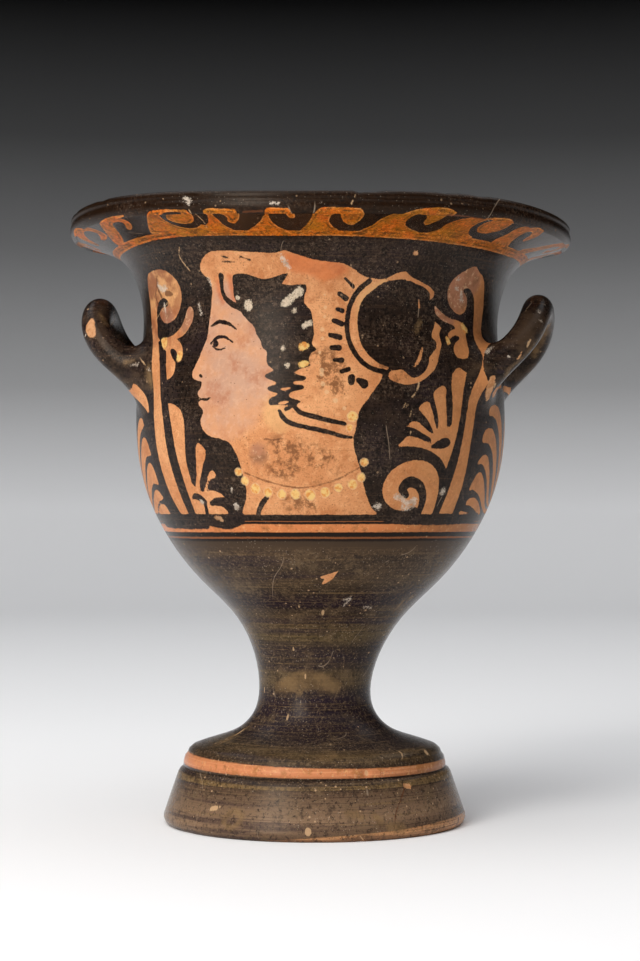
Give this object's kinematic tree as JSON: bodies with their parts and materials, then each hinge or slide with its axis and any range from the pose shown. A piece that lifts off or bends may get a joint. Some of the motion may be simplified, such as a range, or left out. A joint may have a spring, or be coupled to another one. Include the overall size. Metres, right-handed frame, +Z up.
{
  "type": "bell krater",
  "caption": "Wheel-thrown clay mixing bowl with a flaring mouth, looped side handles and a stemmed hollow foot, slip painted in red-figure style.",
  "frame": {"origin": "on the surface it stands on, under the centre of the mouth", "axes": "+Z up; the handles lie along X; the painted front looks along -Y and the plainer back along +Y"},
  "size_m": [0.2486, 0.2486, 0.3004],
  "materials": {
    "painted_clay": "half-glossy black slip with reserved orange clay, worn and pitted"
  },
  "bodies": {
    "root": {"bell_krater": "painted_clay"}
  },
  "joints": []
}
